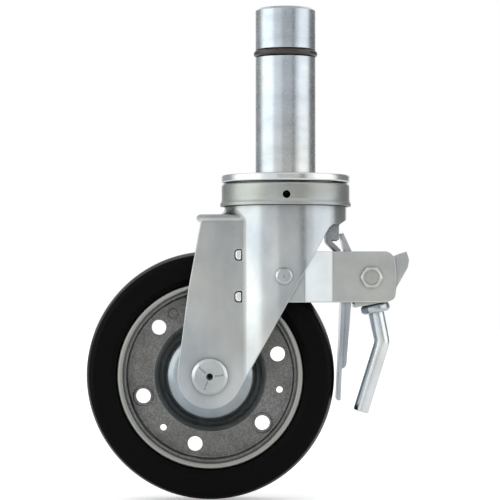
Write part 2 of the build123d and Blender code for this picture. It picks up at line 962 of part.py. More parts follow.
# Axle, a turned pin: bevelled head with a centre hole and three staking marks, and a thread far side
head_face = -panel_half_width - axle_head_height
with BuildPart() as axle:
    with BuildSketch(wheel_section):
        with BuildLine():
            Polyline(
                (0, head_face),
                (axle_face_radius, head_face),
                (axle_head_radius, head_face + axle_head_bevel),
                (axle_head_radius, -panel_half_width),
                (axle_radius, -panel_half_width),
                (axle_radius, far_nut_face + axle_thread_out - axle_end_chamfer),
                (axle_radius - axle_end_chamfer, far_nut_face + axle_thread_out),
                (0, far_nut_face + axle_thread_out),
                close=True,
            )
        make_face()
    revolve(axis=axle_axis)
    with BuildSketch(side_plane(axle_x, axle_z, -1).offset(-head_face)):
        Circle(axle_centre_radius)
    extrude(amount=-axle_centre_depth, mode=Mode.SUBTRACT)
    with BuildSketch(side_plane(axle_x, axle_z, -1).offset(-head_face)):
        for angle in stake_angles:
            with PolarLocations(stake_start + stake_length / 2, 1, angle):
                Rectangle(stake_length, stake_width)
    extrude(amount=-stake_depth, mode=Mode.SUBTRACT)
write(axle.part, "axle")
write(
    turned(
        ring_points(axle_bore, axle_washer_radius, panel_half_width, far_washer_face),
        wheel_section,
        axle_axis,
        axle_washer_edge,
    ),
    "axle_washer",
)
far_face = side_plane(axle_x, axle_z, 1).offset(far_washer_face)
write(hex_nut(far_face, axle_nut_flats, axle_nut_height, axle_bore), "axle_nut")

# Pivot bolt with a dished hexagon head, its washer and its nut
bolt_bore = bolt_radius + press_gap
bolt_end = cheek_out_y + nut_washer_thickness + nut_height + bolt_thread_out
with BuildPart() as pivot_bolt:
    add(
        hex_head(
            side_plane(pivot_x, pivot_z, -1).offset(cheek_out_y),
            bolt_flats,
            bolt_head_height,
            bolt_corner,
            bolt_head_bevel,
        )
    )
    with BuildSketch(side_plane(pivot_x, pivot_z, -1).offset(cheek_out_y + bolt_head_height)):
        Circle(bolt_dish_radius)
    extrude(amount=-bolt_dish_depth, mode=Mode.SUBTRACT)
    with BuildSketch(side_plane(pivot_x, pivot_z, 1).offset(-cheek_out_y)):
        Circle(bolt_radius)
    extrude(amount=cheek_out_y + bolt_end)
write(pivot_bolt.part, "pivot_bolt")
nut_face = cheek_out_y + nut_washer_thickness
write(
    turned(
        ring_points(bolt_bore, nut_washer_radius, cheek_out_y, nut_face),
        pivot_section,
        pivot_axis,
        nut_washer_edge,
    ),
    "pivot_washer",
)
write(
    hex_nut(side_plane(pivot_x, pivot_z, 1).offset(nut_face), bolt_flats, nut_height, bolt_bore),
    "pivot_nut",
)

# Pedal channel, a pressed tray: two ears on the bolt, joined by a base round the rod and a foot plate
channel_inner = channel_half_width - channel_sheet
half_channel = channel_sheet / 2
with BuildPart() as pedal_channel:
    with BuildSketch(Plane.XZ):
        with BuildLine():
            FilletPolyline(
                along_rod(channel_base, -channel_base_left),
                along_rod(channel_base, channel_base_right),
                pedal_low,
                pedal_mid,
                pedal_high,
                pedal_tip,
                radius=channel_bends,
            )
        trace(line_width=channel_sheet)
    extrude(amount=channel_half_width, both=True)
    with BuildSketch(Plane.XZ) as ear_outline:
        with BuildLine():
            Polyline(
                along_rod(channel_base, -channel_base_left),
                along_rod(channel_base, channel_base_right),
                pedal_low,
                pedal_mid,
                pedal_high,
                pedal_tip,
                pedal_back,
                (pivot_x, pivot_z + ear_radius),
                (pivot_x - ear_radius, pivot_z),
                close=True,
            )
        make_face()
        with Locations((pivot_x, pivot_z)):
            Circle(ear_radius)
    extrude(amount=channel_half_width, both=True)
    with BuildSketch(Plane.XZ) as channel_space:
        with BuildLine():
            Polyline(
                along_rod(channel_base - half_channel, -channel_base_left - mouth_left),
                along_rod(channel_base - half_channel, channel_base_right - half_channel),
                (pedal_low[0] - half_channel, pedal_low[1] + half_channel / 2),
                (pedal_mid[0] - half_channel, pedal_mid[1] + half_channel / 2),
                (pedal_high[0] - half_channel, pedal_high[1]),
                (pedal_tip[0] - half_channel, pedal_tip[1] + mouth_left),
                (pedal_back[0], pedal_tip[1] + mouth_high),
                (pivot_x - ear_radius - mouth_left, pedal_tip[1] + mouth_high),
                close=True,
            )
        make_face()
    extrude(amount=channel_inner, both=True, mode=Mode.SUBTRACT)
    with BuildSketch(Plane.XZ):
        with Locations((pivot_x, pivot_z)):
            Circle(bolt_radius + running_gap)
    extrude(amount=channel_half_width, both=True, mode=Mode.SUBTRACT)
    with BuildSketch(rod_plane.offset(channel_base - channel_sheet)):
        Circle(rod_radius + press_gap)
    extrude(amount=2 * channel_sheet, mode=Mode.SUBTRACT)
write(pedal_channel.part, "pedal_channel")

# Brake cam, one turned block on the bolt: a lobe for the shoe, two for the pawl, a neck for the rod
neck_end = channel_base - channel_sheet / 2


def cam_lobe(radius, throw, angle, low, high):
    """An eccentric disc on the pivot, between two distances from the middle."""
    x = pivot_x + throw * cos(radians(angle))
    z = pivot_z + throw * sin(radians(angle))
    with BuildPart() as lobe:
        with BuildSketch(side_plane(x, z, 1).offset(low)):
            Circle(radius)
        extrude(amount=high - low)
    return lobe.part


with BuildPart() as brake_cam:
    add(cam_lobe(cam_radius, cam_throw, cam_throw_angle, -cam_half_width, cam_half_width))
    add(cam_lobe(pawl_cam_radius, pawl_cam_throw, pawl_cam_angle, pawl_cam_inner, pawl_cam_outer))
    add(cam_lobe(pawl_cam_radius, pawl_cam_throw, pawl_cam_angle, -pawl_cam_outer, -pawl_cam_inner))
    add(cam_lobe(cam_hub_radius, 0, 0, -channel_inner, channel_inner))
    with BuildSketch(rod_plane):
        Circle(cam_neck_radius)
    extrude(amount=neck_end)
    with BuildSketch(rod_plane.offset(neck_end)):
        Circle(2 * cam_radius)
    extrude(amount=cam_radius, mode=Mode.SUBTRACT)
    with BuildSketch(Plane.XZ):
        with Locations((pivot_x, pivot_z)):
            Circle(bolt_radius + running_gap)
    extrude(amount=channel_inner, both=True, mode=Mode.SUBTRACT)
    with BuildSketch(rod_plane.offset(rod_tip_start - rod_seat_gap)):
        Circle(rod_tip_radius + press_gap)
    extrude(amount=neck_end, mode=Mode.SUBTRACT)
write(brake_cam.part, "brake_cam")

# Lever rod, a bent bar that screws into the cam's neck through the channel
rod_start = along_rod(neck_end)
rod_bend = along_rod(rod_bend_distance)
with BuildPart() as lever_rod:
    with BuildLine() as rod_path:
        FilletPolyline(
            (rod_start[0], 0, rod_start[1]),
            (rod_bend[0], 0, rod_bend[1]),
            (rod_end[0], 0, rod_end[1]),
            radius=rod_bend_radius,
        )
    with BuildSketch(rod_plane.offset(neck_end)):
        Circle(rod_radius)
    sweep()
    with BuildSketch(rod_plane.offset(rod_tip_start)):
        Circle(rod_tip_radius)
    extrude(amount=neck_end - rod_tip_start)
    chamfer(lever_rod.faces().sort_by(Axis.Z)[0].edges(), length=rod_end_chamfer)
write(lever_rod.part, "lever_rod")

# Lock nut, a round collar that clamps the channel's base on the cam's neck
with BuildPart() as lever_nut:
    with BuildSketch(rod_plane.offset(channel_base + channel_sheet / 2)):
        Circle(lock_nut_radius)
    extrude(amount=lock_nut_height)
    fillet(lever_nut.edges().filter_by(GeomType.CIRCLE), radius=lock_nut_round)
    with BuildSketch(rod_plane):
        Circle(rod_radius + press_gap)
    extrude(amount=2 * rod_bend_distance, mode=Mode.SUBTRACT)
write(lever_nut.part, "lever_nut")

# Shoe pin, held between the cheeks
with BuildPart() as shoe_pin:
    with BuildSketch(Plane.XZ):
        with Locations((pin_x, pin_z)):
            Circle(pin_radius)
    extrude(amount=cheek_inner_y, both=True)
write(shoe_pin.part, "shoe_pin")

# Brake shoe, a channel with its web to the tyre, a window round the pin and a tongue above it
half_shoe = shoe_sheet / 2
shoe_lean = (shoe_top_left_x - shoe_foot_left_x) / (shoe_top_z - shoe_foot_z)
window_left = pin_x - 2 * ear_lug_radius
window_right = flange_top_x + 2 * ear_lug_radius
window_high = pin_z + ear_lug_radius + shoe_window_gap
window_step = shoe_tongue_low[1] - shoe_window_gap
flange_foot_x = shoe_foot_left_x + half_shoe + (flange_low_z - shoe_foot_z) * shoe_lean
with BuildPart() as brake_shoe:
    with BuildSketch(Plane.XZ):
        with BuildLine():
            Line(
                (shoe_foot_left_x + half_shoe, shoe_foot_z),
                (shoe_top_left_x + half_shoe, shoe_top_z),
            )
        trace(line_width=shoe_sheet)
    extrude(amount=shoe_web_half_width, both=True)
    with BuildSketch(Plane.XZ):
        with BuildLine():
            Line(shoe_tongue_low, shoe_tongue_high)
        trace(line_width=shoe_sheet)
    extrude(amount=shoe_half_width, both=True)
    with BuildSketch(Plane.XZ) as flange_outline:
        with BuildLine():
            Polyline(
                (flange_foot_x, flange_low_z),
                (flange_low_x, flange_low_z),
                (flange_top_x, flange_top_z),
                (shoe_tongue_low[0] + half_shoe, shoe_tongue_low[1]),
                (shoe_tongue_low[0] - half_shoe, pin_z + ear_lug_radius),
                (pin_x, pin_z + ear_lug_radius),
                (pin_x, pin_z),
                (shoe_top_left_x + half_shoe, shoe_top_z),
                close=True,
            )
        make_face()
        with BuildLine():
            Polyline(
                shoe_tongue_high,
                (shoe_tongue_high[0] - tongue_flange_high, shoe_tongue_high[1]),
                (shoe_tongue_low[0] - tongue_flange_low, shoe_tongue_low[1]),
                shoe_tongue_low,
                close=True,
            )
        make_face()
        corner = flange_outline.vertices().sort_by_distance((flange_low_x, flange_low_z, 0))[0]
        fillet(corner, radius=flange_corner_radius)
        with Locations((pin_x, pin_z)):
            Circle(ear_lug_radius)
    extrude(amount=shoe_half_width, both=True)
    with BuildSketch(Plane.XZ):
        with BuildLine():
            Polyline(
                (shoe_foot_left_x + shoe_sheet, shoe_foot_z),
                (shoe_top_left_x + shoe_sheet, shoe_top_z),
                (window_left, shoe_top_z),
                (window_left, window_high),
                (shoe_tongue_low[0] - shoe_sheet, window_high),
                (shoe_tongue_low[0] - half_shoe, window_step),
                (window_right, window_step),
                (window_right, shoe_foot_z),
                close=True,
            )
        make_face()
    extrude(amount=shoe_half_width - shoe_sheet, both=True, mode=Mode.SUBTRACT)
    with BuildSketch(Plane.XZ):
        with Locations((pin_x, pin_z)):
            Circle(pin_radius + running_gap)
    extrude(amount=shoe_half_width, both=True, mode=Mode.SUBTRACT)
write(brake_shoe.part, "brake_shoe")

# Swivel pawl, a bent strip with side flanges, a tooth on top and a tail each side for the cam
half_pawl = pawl_sheet / 2
with BuildPart() as swivel_pawl:
    with BuildSketch(Plane.XZ):
        with BuildLine():
            FilletPolyline(
                (pawl_x, pawl_shoulder_z),
                (pawl_x, pawl_bend_z),
                pawl_low,
                radius=pawl_bend_radius,
            )
        trace(line_width=pawl_sheet)
    extrude(amount=pawl_half_width, both=True)
    with BuildSketch(Plane.XY.offset(pawl_shoulder_z)):
        with BuildLine():
            Polyline(
                (pawl_x - half_pawl, -pawl_tooth_tip_half),
                (pawl_x + half_pawl, -pawl_tooth_half_width),
                (pawl_x + half_pawl, pawl_tooth_half_width),
                (pawl_x - half_pawl, pawl_tooth_tip_half),
                close=True,
            )
        make_face()
    extrude(amount=pawl_tooth_top - pawl_shoulder_z)
    with BuildSketch(Plane.XZ):
        with BuildLine():
            Polyline(
                (pawl_x, pawl_flange_top),
                (pawl_flange_x, pawl_flange_top),
                (pawl_flange_x, pawl_flange_low),
                (pawl_x, pawl_flange_low),
                close=True,
            )
        make_face()
        with BuildLine():
            Polyline(
                pawl_low,
                (pawl_low[0] + pawl_knee_out, pawl_low[1]),
                (pawl_tail[0], pawl_tail[1] + pawl_tail_radius),
                (pawl_tail[0], pawl_tail[1] - pawl_tail_radius),
                (pin_x, pin_z - ear_lug_radius),
                (pin_x - ear_lug_radius, pin_z),
                (pawl_low[0] - pawl_knee_in, pawl_low[1]),
                close=True,
            )
        make_face()
        with Locations((pin_x, pin_z)):
            Circle(ear_lug_radius)
        with Locations(pawl_tail):
            Circle(pawl_tail_radius)
    extrude(amount=pawl_half_width, both=True)
    with BuildSketch(Plane.XZ):
        with BuildLine():
            Polyline(
                (pawl_x + half_pawl, pawl_flange_top + cut_over),
                (pawl_x + half_pawl, pawl_bend_z),
                (pawl_low[0] + pawl_well_out[0], pawl_low[1] + pawl_well_out[1]),
                (pawl_low[0] + pawl_well_in[0], pawl_low[1] + pawl_well_in[1]),
                (pin_x - ear_lug_radius - cut_over, pin_z - ear_lug_radius - cut_over),
                (pawl_tail[0] + pawl_tail_room, pin_z - ear_lug_radius - cut_over),
                (pawl_tail[0] + pawl_tail_room, pawl_flange_top + cut_over),
                close=True,
            )
        make_face()
    extrude(amount=pawl_half_width - pawl_flange_sheet, both=True, mode=Mode.SUBTRACT)
    with BuildSketch(Plane.XZ):
        with Locations((pin_x, pin_z)):
            Circle(pin_radius + running_gap)
    extrude(amount=pawl_half_width, both=True, mode=Mode.SUBTRACT)
write(swivel_pawl.part, "swivel_pawl")

# Return spring, a coil round the shoe pin with a leg that pushes the shoe off the tyre
spring_length = spring_pitch * spring_turns
with BuildPart() as return_spring:
    with BuildLine():
        coil = Helix(
            spring_pitch,
            spring_length,
            spring_mean_radius,
            center=(pin_x, -spring_length / 2, pin_z),
            direction=(0, 1, 0),
            lefthand=True,
        )
    with BuildSketch(Plane(coil @ 0, z_dir=coil % 0)):
        Circle(spring_wire_radius)
    sweep(is_frenet=True)
    leg_way = Vector((coil % 1).X, 0, (coil % 1).Z)
    with BuildSketch(Plane(coil @ 1, z_dir=leg_way)):
        Circle(spring_wire_radius)
    extrude(amount=spring_leg)
write(return_spring.part, "return_spring")
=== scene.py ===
# %% [markdown]
# This lesson dresses a scaffold castor. The castor was built in CAD, as nodes that ride on six bodies, and it
# comes in here as a fixed frame. The lesson sets up a small photo studio, gives every node a finish made of
# shader nodes, and adds the fine turned pieces that the CAD model leaves out. Lengths are in metres. The
# origin is on the stem's axis at the flange's top face, +Z is up, and the brake lever is on the +X side.

# %% Load the frame
import json
from math import cos, pi, radians, sin

import bmesh
import bpy
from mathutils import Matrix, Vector


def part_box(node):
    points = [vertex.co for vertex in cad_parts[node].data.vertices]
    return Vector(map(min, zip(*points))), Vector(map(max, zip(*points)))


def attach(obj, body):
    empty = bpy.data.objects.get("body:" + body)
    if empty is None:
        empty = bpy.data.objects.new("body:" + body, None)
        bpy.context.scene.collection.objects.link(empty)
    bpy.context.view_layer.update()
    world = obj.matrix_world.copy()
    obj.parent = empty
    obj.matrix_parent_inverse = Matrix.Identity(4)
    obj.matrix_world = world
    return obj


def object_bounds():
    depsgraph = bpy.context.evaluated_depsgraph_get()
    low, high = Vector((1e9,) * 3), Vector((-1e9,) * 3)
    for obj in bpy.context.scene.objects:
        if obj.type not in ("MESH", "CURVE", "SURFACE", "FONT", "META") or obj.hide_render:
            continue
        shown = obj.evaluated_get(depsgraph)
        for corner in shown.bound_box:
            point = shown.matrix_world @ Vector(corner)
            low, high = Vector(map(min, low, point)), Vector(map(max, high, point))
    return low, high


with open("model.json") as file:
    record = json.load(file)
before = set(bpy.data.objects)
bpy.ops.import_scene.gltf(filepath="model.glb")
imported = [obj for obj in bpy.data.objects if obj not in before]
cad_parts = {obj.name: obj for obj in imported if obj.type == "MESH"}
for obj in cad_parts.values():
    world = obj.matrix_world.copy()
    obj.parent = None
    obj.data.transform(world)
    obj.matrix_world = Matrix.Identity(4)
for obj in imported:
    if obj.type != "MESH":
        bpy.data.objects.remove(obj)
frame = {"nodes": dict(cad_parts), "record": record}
nodes = frame["nodes"]
cad_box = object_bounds()
scene = bpy.context.scene
print("nodes:", len(nodes), "height:", round(cad_box[1][2] - cad_box[0][2], 4))

# %% [markdown]
# Some finishes and pieces need the place of the wheel's axle or of the brake's pivot bolt. These could be
# typed in again, but the CAD model's record holds them as the places of its joints, so they are read there.

# %% Places of the joints
joints = frame["record"]["behaviour"]["joints"]
joint_place = {joint["name"]: Vector(joint["pos_m"]) for joint in joints}
wheel_centre = joint_place["wheel_spin"]
pivot_centre = joint_place["brake_lever"]
print("wheel axle:", wheel_centre, "brake pivot:", pivot_centre)

# %% [markdown]
# The castor is photographed from its side, at the height of the fork. A short lens close by would swell the
# wheel and show the ends of the stem and the wheel at an angle. A long lens from over a metre away sees both
# almost square on. It tips up by about one degree, so the wheel stands low in the picture.

# %% Camera
CAMERA_PLACE = (-0.0216, -1.333, -0.072)
LEVEL = 90
TIPPED_UP = 1.15
camera_data = bpy.data.cameras.new("camera")
camera_data.sensor_width = 36.0
camera_data.lens = 158.0
camera = bpy.data.objects.new("camera", camera_data)
camera.location = CAMERA_PLACE
camera.rotation_euler = (radians(LEVEL + TIPPED_UP), 0, 0)
scene.collection.objects.link(camera)
scene.camera = camera
print("camera at:", camera.location)

# %% [markdown]
# Zinc plate mirrors whatever stands round it, so the world is part of the metal's look. A picture of a studio
# could serve as the world, but plain white does the same and needs no file. Light Path makes the world fully
# white for the camera and for reflections. As a light it is a little dimmer, so that pale plate doesn't clip.

# %% World
WORLD_AS_LIGHT = 0.85
world = bpy.data.worlds.new("studio")
scene.world = world
world.use_nodes = True
world_nodes = world.node_tree.nodes
world_links = world.node_tree.links
background = world_nodes["Background"]
background.inputs["Color"].default_value = (1, 1, 1, 1)
light_path = world_nodes.new("ShaderNodeLightPath")
seen = light_path.outputs["Is Camera Ray"]
for ray in ("Is Glossy Ray", "Is Transmission Ray"):
    either = world_nodes.new("ShaderNodeMath")
    either.operation = "MAXIMUM"
    world_links.new(seen, either.inputs[0])
    world_links.new(light_path.outputs[ray], either.inputs[1])
    seen = either.outputs[0]
strength = world_nodes.new("ShaderNodeMapRange")
strength.inputs["To Min"].default_value = WORLD_AS_LIGHT
strength.inputs["To Max"].default_value = 1.0
world_links.new(seen, strength.inputs["Value"])
world_links.new(strength.outputs["Result"], background.inputs["Strength"])
print("world strength as a light:", WORLD_AS_LIGHT)

# %% [markdown]
# Lamps and grey cards stand round the castor and face it. Their angles could be typed in as rotations, but a
# place is easier to picture as so many degrees round and so far away. The two helpers turn that into a point,
# and into the rotation that faces the castor from there.

# %% Round the castor
AIM = Vector((0, 0, -0.05))


def around(azimuth, distance, height):
    """A point round the castor. Azimuth 0 is the camera's side and +90 is the lever's side."""
    turn = radians(azimuth)
    return Vector((sin(turn) * distance, -cos(turn) * distance, height))


def facing(place, front):
    """The rotation at a place that points the front axis at the castor."""
    return (AIM - place).to_track_quat(front, "Y").to_euler()


# %% [markdown]
# The bright bands down the stem and the cup are reflections of two tall soft boxes, one on each side. Spot
# lamps would give thin hot lines there, because a round bar mirrors the shape of its lamp. The third box
# hangs over the castor and only fills the shadows. It is hidden from reflections, so it adds no band there.

# %% Soft boxes
COOL = (0.90, 0.97, 1.0)
PALE_BLUE = (0.92, 0.95, 1.0)


def soft_box(name, azimuth, distance, height, width, tall, watts, colour=(1, 1, 1)):
    lamp_data = bpy.data.lights.new(name, "AREA")
    lamp_data.shape = "RECTANGLE"
    lamp_data.size = width
    lamp_data.size_y = tall
    lamp_data.energy = watts
    lamp_data.color = colour
    lamp = bpy.data.objects.new(name, lamp_data)
    lamp.location = around(azimuth, distance, height)
    lamp.rotation_euler = facing(lamp.location, "-Z")
    scene.collection.objects.link(lamp)
    print(name, watts, "W")
    return lamp


soft_box("left_box", -74, distance=1.3, height=0.05, width=1.25, tall=1.5, watts=4.6, colour=COOL)
soft_box("right_box", 72, distance=1.3, height=0.05, width=1.00, tall=1.5, watts=2.2, colour=PALE_BLUE)
top_box = soft_box("top_box", -20, distance=1.2, height=1.30, width=1.3, tall=1.3, watts=6)
top_box.visible_glossy = False

# %% [markdown]
# In a white studio a plated bar melts into the background at its edges. Photographers stand grey cards,
# called flags, round it, and the metal mirrors them as darker edges. The edges could be painted into the
# finish, but they would then turn with the castor. The flags here show in reflections only.

# %% Flags
def flag(name, azimuth, distance, width, tall, grey, height=-0.05):
    mesh = bpy.data.meshes.new(name)
    bm = bmesh.new()
    bmesh.ops.create_grid(bm, x_segments=1, y_segments=1, size=0.5)
    bmesh.ops.scale(bm, vec=(width, tall, 1), verts=bm.verts)
    bm.to_mesh(mesh)
    bm.free()
    card = bpy.data.objects.new(name, mesh)
    card.location = around(azimuth, distance, height)
    card.rotation_euler = facing(card.location, "Z")
    scene.collection.objects.link(card)
    card.visible_camera = False
    card.visible_diffuse = False
    card.visible_shadow = False
    paint = bpy.data.materials.new(name)
    paint.use_nodes = True
    shader = paint.node_tree.nodes["Principled BSDF"]
    shader.inputs["Base Color"].default_value = (grey, grey, grey, 1)
    shader.inputs["Roughness"].default_value = 1.0
    mesh.materials.append(paint)
    print(name, "grey", grey)


flag("left_flag", -133, distance=1.3, width=1.1, tall=1.8, grey=0.38)
flag("right_flag", 128, distance=1.3, width=1.25, tall=1.8, grey=0.24)
flag("camera_flag", 5, distance=2.2, width=1.6, tall=2.0, grey=0.64)
flag("narrow_flag", 31, distance=2.1, width=0.40, tall=2.0, grey=0.20)
flag("top_flag", 0, distance=0.0, width=1.6, tall=1.6, grey=0.62, height=1.3)

# %% [markdown]
# The castor stands on a floor. A curved backdrop would hide the line where floor and wall meet, but the world
# is white already, so one large flat plane is enough. It lies half a millimetre under the tyre, so that the
# two surfaces don't flicker through each other.

# %% Floor
FLOOR_GAP = 0.0005
floor_mesh = bpy.data.meshes.new("floor")
floor_bm = bmesh.new()
bmesh.ops.create_grid(floor_bm, x_segments=1, y_segments=1, size=6.0)
floor_bm.to_mesh(floor_mesh)
floor_bm.free()
floor = bpy.data.objects.new("floor", floor_mesh)
floor.location = (0, 0, cad_box[0][2] - FLOOR_GAP)
scene.collection.objects.link(floor)
print("floor at:", floor.location.z)

# %% [markdown]
# The floor is pale and fades into the white behind it. More light would wash it out, and the castor with it.
# So the floor glows a little, but for the camera's rays only: the metal above it mirrors a plain floor, and
# the soft shadow under the tyre stays.

# %% Paint on the floor
FLOOR_GLOW = 0.40
floor_paint = bpy.data.materials.new("floor")
floor_paint.use_nodes = True
floor_nodes = floor_paint.node_tree.nodes
floor_links = floor_paint.node_tree.links
floor_shader = floor_nodes["Principled BSDF"]
floor_shader.inputs["Base Color"].default_value = (0.93, 0.93, 0.93, 1)
floor_shader.inputs["Roughness"].default_value = 0.9
floor_shader.inputs["Emission Color"].default_value = (1, 1, 1, 1)
floor_path = floor_nodes.new("ShaderNodeLightPath")
floor_glow = floor_nodes.new("ShaderNodeMath")
floor_glow.operation = "MULTIPLY"
floor_glow.inputs[1].default_value = FLOOR_GLOW
floor_links.new(floor_path.outputs["Is Camera Ray"], floor_glow.inputs[0])
floor_links.new(floor_glow.outputs[0], floor_shader.inputs["Emission Strength"])
floor_mesh.materials.append(floor_paint)
print("glow of the floor:", FLOOR_GLOW)

# %% [markdown]
# Every finish starts the same way: a Principled shader with a plain colour, and Object coordinates for its
# patterns. Coordinates from an unwrapped mesh would also do, but CAD meshes are loose triangles with nothing
# to unwrap. Object coordinates are in metres and move with the piece, so a pattern never slides on it.

# %% A blank finish
def blank(name, colour, metallic, roughness):
    paint = bpy.data.materials.new(name)
    paint.use_nodes = True
    tree = paint.node_tree
    shader = tree.nodes["Principled BSDF"]
    shader.inputs["Base Color"].default_value = (*colour, 1)
    shader.inputs["Metallic"].default_value = metallic
    shader.inputs["Roughness"].default_value = roughness
    coordinates = tree.nodes.new("ShaderNodeTexCoord")
    print("finish:", name)
    return paint, tree, shader, coordinates.outputs["Object"]


# %% [markdown]
# Zinc plate is smooth from afar and clouded close up, and it has a fine grain. A picture of plate would show
# its own edges and repeats. Noise has neither, and at two scales it gives both clouds and grain. A Mapping
# node sets how many patches there are to a metre, and can squeeze them along one axis. The second helper
# turns noise, or any other number, into a roughness or a share.

# %% Noise and its range
def noise(tree, place, scale, detail):
    """Noise with so many patches to a metre along X, Y and Z."""
    mapping = tree.nodes.new("ShaderNodeMapping")
    mapping.inputs["Scale"].default_value = scale
    tree.links.new(place, mapping.inputs["Vector"])
    texture = tree.nodes.new("ShaderNodeTexNoise")
    texture.inputs["Scale"].default_value = 1.0
    texture.inputs["Detail"].default_value = detail
    tree.links.new(mapping.outputs["Vector"], texture.inputs["Vector"])
    return texture.outputs["Fac"]


def ranged(tree, value, low, high, from_low=0.3, from_high=0.7):
    spread = tree.nodes.new("ShaderNodeMapRange")
    spread.inputs["From Min"].default_value = from_low
    spread.inputs["From Max"].default_value = from_high
    spread.inputs["To Min"].default_value = low
    spread.inputs["To Max"].default_value = high
    tree.links.new(value, spread.inputs["Value"])
    return spread.outputs["Result"]


# %% [markdown]
# Colours are put together in three ways. A ramp turns the clouds into two tones of zinc. A mix lays one
# colour over another where a share says so. A multiply tints or darkens what is already there. One Mix node
# could do all three, but short helpers with plain names keep the finishes below easy to read.

# %% Colours
def two_tones(tree, value, dark, light, from_low=0.35, from_high=0.65):
    ramp = tree.nodes.new("ShaderNodeValToRGB")
    ramp.color_ramp.elements[0].position = from_low
    ramp.color_ramp.elements[0].color = (*dark, 1)
    ramp.color_ramp.elements[1].position = from_high
    ramp.color_ramp.elements[1].color = (*light, 1)
    tree.links.new(value, ramp.inputs["Fac"])
    return ramp.outputs["Color"]


def mixed(tree, first, second, share):
    """The first colour turned into the second, which is a plain colour, by a share."""
    mix = tree.nodes.new("ShaderNodeMix")
    mix.data_type = "RGBA"
    tree.links.new(first, mix.inputs["A"])
    mix.inputs["B"].default_value = (*second, 1)
    tree.links.new(share, mix.inputs["Factor"])
    return mix.outputs["Result"]


def multiplied(tree, first, second, factor=1.0):
    mix = tree.nodes.new("ShaderNodeMix")
    mix.data_type = "RGBA"
    mix.blend_type = "MULTIPLY"
    mix.inputs["Factor"].default_value = factor
    tree.links.new(first, mix.inputs["A"])
    tree.links.new(second, mix.inputs["B"])
    return mix.outputs["Result"]


# %% [markdown]
# Where two pieces meet and down in a hole, shade falls, but the render's own shadows are faint in a white
# studio. So shade is painted into the colour there. An Ambient Occlusion node finds such corners by itself,
# which saves painting them by hand, and the colour is darkened there down to the deepest tone.

# %% Painted shade in corners
CLOSED_AT = 0.15


def shaded(tree, colour, distance, deepest, open_at=0.75):
    """Painted shade: darker where walls stand within the distance. From open_at up, a place counts as open.
    """
    corner = tree.nodes.new("ShaderNodeAmbientOcclusion")
    corner.samples = 6
    corner.inputs["Distance"].default_value = distance
    return multiplied(tree, colour, ranged(tree, corner.outputs["AO"], deepest, 1.0, CLOSED_AT, open_at))


# %% [markdown]
# Sheared and pressed edges aren't razor sharp: a small radius catches a thin line of light. CAD fillets on
# every edge would make the meshes heavy. A Bevel node bends the normal near each edge instead, which is right
# for a radius of a millimetre or less, and the grain's very low bump goes on top of it.

# %% Bump and soft edges
def bump(tree, shader, value, distance, edge=0.0):
    """A low bump of the value. edge is the small radius that the light sees along edges."""
    node = tree.nodes.new("ShaderNodeBump")
    if edge:
        rounded = tree.nodes.new("ShaderNodeBevel")
        rounded.samples = 6
        rounded.inputs["Radius"].default_value = edge
        tree.links.new(rounded.outputs["Normal"], node.inputs["Normal"])
    node.inputs["Strength"].default_value = 1.0
    node.inputs["Distance"].default_value = distance
    tree.links.new(value, node.inputs["Height"])
    tree.links.new(node.outputs["Normal"], shader.inputs["Normal"])


# %% [markdown]
# After plating, zinc is dipped in a bath that leaves a very thin film. It looks a little blue where it is
# thin and a little yellow where it is thick. A thin-film shader could work that out, but the drift is slow
# and weak, so a wide noise between two tints says the same.

# %% Passivation film
FILM_PATCHES = (22, 22, 16)
FILM_BLUE = (0.80, 0.92, 1.10)
FILM_YELLOW = (1.04, 1.01, 0.93)


def passivated(tree, place, tone, strength):
    drift = noise(tree, place, FILM_PATCHES, 5)
    return multiplied(tree, tone, two_tones(tree, drift, FILM_BLUE, FILM_YELLOW, 0.38, 0.62), strength)


# %% [markdown]
# With these helpers, one function makes every zinc finish of the castor. One shared material would be
# simpler, but the stem, the fork and the small turned pieces don't look alike in the photograph. They differ
# in tone, in roughness, in the size of the clouds and in how deep the grain is.

# %% Zinc plate
LESS_ROUGH = 0.02
MORE_ROUGH = 0.03


def plated(
    name, dark, light, roughness, clouds, grain, depth, distance=0.004, deepest=0.12, open_at=0.75,
    film=0.4, edge=0.0006, mark=None,
):
    """Zinc plate. clouds and grain are patches to a metre along X, Y and Z, and depth is the grain's bump.

    distance, deepest and open_at set the painted shade in corners. mark is a function that changes the tone
    in one place.
    """
    paint, tree, shader, place = blank(name, light, metallic=1.0, roughness=roughness)
    fine = noise(tree, place, grain, 3)
    grainy = ranged(tree, fine, roughness - LESS_ROUGH, roughness + MORE_ROUGH)
    tone = two_tones(tree, noise(tree, place, clouds, 4), dark, light)
    tone = shaded(tree, passivated(tree, place, tone, film), distance, deepest, open_at)
    if mark:
        tone = mark(tree, place, tone)
    tree.links.new(tone, shader.inputs["Base Color"])
    tree.links.new(grainy, shader.inputs["Roughness"])
    bump(tree, shader, fine, depth, edge)
    return paint


# %% [markdown]
# The stem is a turned bar with bright plate. The marks of turning run round it, so its clouds and grain are
# squeezed along Z, where an even noise would look cast. The flange and the lever rod are painted brighter
# still, which stands in for their highlights, and they share one finish.

# %% Stem, flange and rod
stem_zinc = plated(
    "stem_zinc", dark=(0.53, 0.56, 0.57), light=(0.66, 0.685, 0.69), roughness=0.26,
    clouds=(40, 40, 90), grain=(120, 120, 300), depth=0.0000004,
)
highlit_rod_zinc = plated(
    "highlit_rod_zinc", dark=(0.70, 0.72, 0.71), light=(0.82, 0.83, 0.80), roughness=0.22,
    clouds=(60, 60, 60), grain=(500, 500, 500), depth=0.000001,
)
